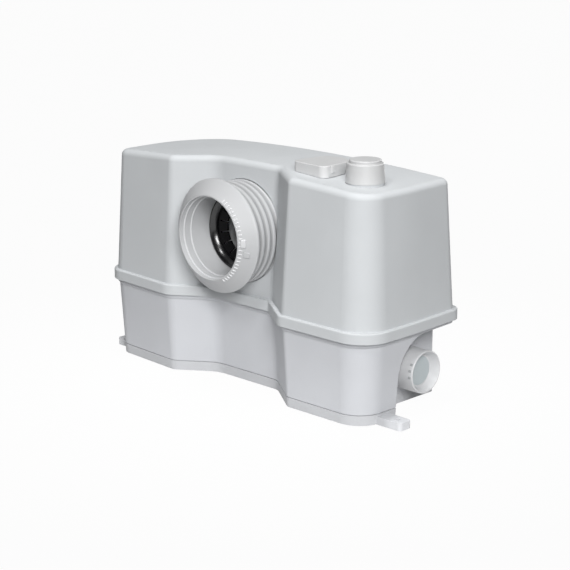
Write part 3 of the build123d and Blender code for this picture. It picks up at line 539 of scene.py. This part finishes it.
def seal_bead():
    """The glossy lip of the seal: an ellipse, thick along the radius and deep along the axis, leant
    inwards by its tilt and carried round the inlet's axis."""
    turns, sides = (np.linspace(0.0, 2 * math.pi, count, endpoint=False) for count in BEAD_GRID)
    turn, side = np.meshgrid(turns, sides, indexing="ij")
    flat = BEAD_THICK / 2 * np.cos(side)
    high = BEAD_DEEP / 2 * np.sin(side)
    radius = BEAD_RADIUS + flat * math.cos(BEAD_TILT) + high * math.sin(BEAD_TILT)
    depth = MOUTH_Y + BEAD_DEPTH + high * math.cos(BEAD_TILT) - flat * math.sin(BEAD_TILT)
    points = np.stack([INLET[0] + radius * np.cos(turn), depth, INLET[1] - radius * np.sin(turn)], -1)
    closed = np.pad(number_grid(BEAD_GRID), ((0, 1), (0, 1)), mode="wrap")
    make_piece("seal_bead", points, closed.T, "inlet_slide", "bead")


# Side inlet: the y and z of its axis along X, its outside, and the catches on it

PORT = (0.0208, 0.0477)
PORT_RADIUS = 0.0251
CATCH_TURNS = np.radians([150.0, 167.0, 184.5])
CATCH_BACK = 0.0038
CATCH_LENGTH = 0.0040
CATCH_WIDTH = 0.0030
CATCH_RISE = 0.0006
CATCH_SUNK_SHARE = 0.1


def port_catches(mouth):
    """Three low catches in a row round the outside of the side inlet, near its mouth. Each is a pad from
    a pressed square, on the plane that touches the tube there."""
    u, v, height = (field[..., None] for field in pressed_square())
    along = np.array([1.0, 0.0, 0.0])
    for number, turn in enumerate(CATCH_TURNS):
        out = np.array([0.0, math.cos(turn), math.sin(turn)])
        around = np.cross(out, along)
        points = np.array([mouth - CATCH_BACK, *PORT]) + out * PORT_RADIUS
        points = points + u * along * CATCH_LENGTH / 2 + v * around * CATCH_WIDTH / 2
        points = points + (height - CATCH_SUNK_SHARE) * CATCH_RISE * out
        grid = number_grid(points.shape[:2])
        make_piece(f"port_bar_{number}", points, grid.T, "housing", "catch")


# The floor: half its side, the distances from the middle over which its own tone falls, and the share
# of white in what the camera and reflections see of it. The sky, and what lamps are turned to

WHITE = (1.0, 1.0, 1.0, 1.0)
FLOOR_REACH = 6.0
FLOOR_ROUGHNESS = 0.9
FLOOR_FALL = (0.2, 0.55)
FLOOR_TONES = (0.70, 0.10)
FLOOR_WHITE_SHARE = 0.97
SKY_STRENGTH = 0.05

BODY_MIDDLE = (0.0, 0.0, 0.14)
SEAL_PLACE = (-0.03, -0.05, 0.16)

# Each lamp's name, place, aim, side in metres and power in watts

LAMPS = (
    ("key", (1.87, -1.525, 1.3), BODY_MIDDLE, 0.9, 61.0),
    ("top", (0.1, -0.2, 2.4), BODY_MIDDLE, 0.9, 29.0),
    ("back", (-0.5, 2.2, 0.45), BODY_MIDDLE, 0.9, 11.0),
    ("mouth", (0.51, -1.49, 1.77), SEAL_PLACE, 0.38, 9.0),
)


def show_white(tree, own, white, rays, share, output):
    """Lets the two kinds of ray that are named see that share of the white shader, and all other rays
    the surface's own."""
    path = tree.nodes.new("ShaderNodeLightPath")
    seen = tree.nodes.new("ShaderNodeMath")
    seen.operation = "MAXIMUM"
    for socket, ray in zip(seen.inputs, rays):
        tree.links.new(path.outputs[ray], socket)
    part = tree.nodes.new("ShaderNodeMath")
    part.operation = "MULTIPLY"
    part.inputs[1].default_value = share
    tree.links.new(seen.outputs[0], part.inputs[0])
    both = tree.nodes.new("ShaderNodeMixShader")
    for socket, source in zip(both.inputs, (part, own, white)):
        tree.links.new(source.outputs[0], socket)
    tree.links.new(both.outputs[0], tree.nodes[output].inputs["Surface"])


def lay_floor():
    """A pale floor under the object, which shows nearly white to the camera and in reflections, and so
    keeps a faint shadow. Its own tone falls from light under the object to darker far away."""
    sheet = bpy.data.meshes.new("floor")
    corners = [(x * FLOOR_REACH, y * FLOOR_REACH, 0.0) for x, y in ((-1, -1), (1, -1), (1, 1), (-1, 1))]
    sheet.from_pydata(corners, [], [(0, 1, 2, 3)])
    floor = add_to_scene("floor", sheet)
    made = Finish("pale_floor", WHITE[:3], FLOOR_ROUGHNESS)
    fall = made.spread(made.distance(made.place), FLOOR_FALL, FLOOR_TONES)
    tone = made.node("ShaderNodeCombineColor")
    for channel in ("Red", "Green", "Blue"):
        made.join(fall, tone.inputs[channel])
    made.colour(tone.outputs["Color"])
    white = made.node("ShaderNodeEmission")
    white.inputs["Strength"].default_value = 1.0
    rays = ("Is Camera Ray", "Is Glossy Ray")
    show_white(made.tree, made.shader, white, rays, FLOOR_WHITE_SHARE, "Material Output")
    sheet.materials.append(made.material)


def light_world():
    """An even white sky that lights the object faintly, and shows full white behind it."""
    world = bpy.data.worlds.new("studio")
    bpy.context.scene.world = world
    world.use_nodes = True
    tree = world.node_tree
    sky = tree.nodes["Background"]
    white = tree.nodes.new("ShaderNodeBackground")
    for shader, strength in ((sky, SKY_STRENGTH), (white, 1.0)):
        shader.inputs["Color"].default_value = WHITE
        shader.inputs["Strength"].default_value = strength
    show_white(tree, sky, white, ("Is Camera Ray", "Is Transmission Ray"), 1.0, "World Output")


def hang_lamp(name, place, aim, side, power):
    """A square soft lamp at a place, turned to a point."""
    lamp = bpy.data.lights.new(name, "AREA")
    lamp.shape = "SQUARE"
    lamp.size = side
    lamp.energy = power
    stand_facing(add_to_scene(name, lamp), place, Vector(aim) - Vector(place))


for finish, members in finish_of.items():
    for member in members:
        paint(nodes[member], finish)

collar_ticks()
collar_pointer()
seal_bead()
port_catches(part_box("side_inlet_spigot")[1][0])

place_camera()
lay_floor()
light_world()
for lamp in LAMPS:
    hang_lamp(*lamp)

bpy.context.scene.view_settings.view_transform = "Standard"
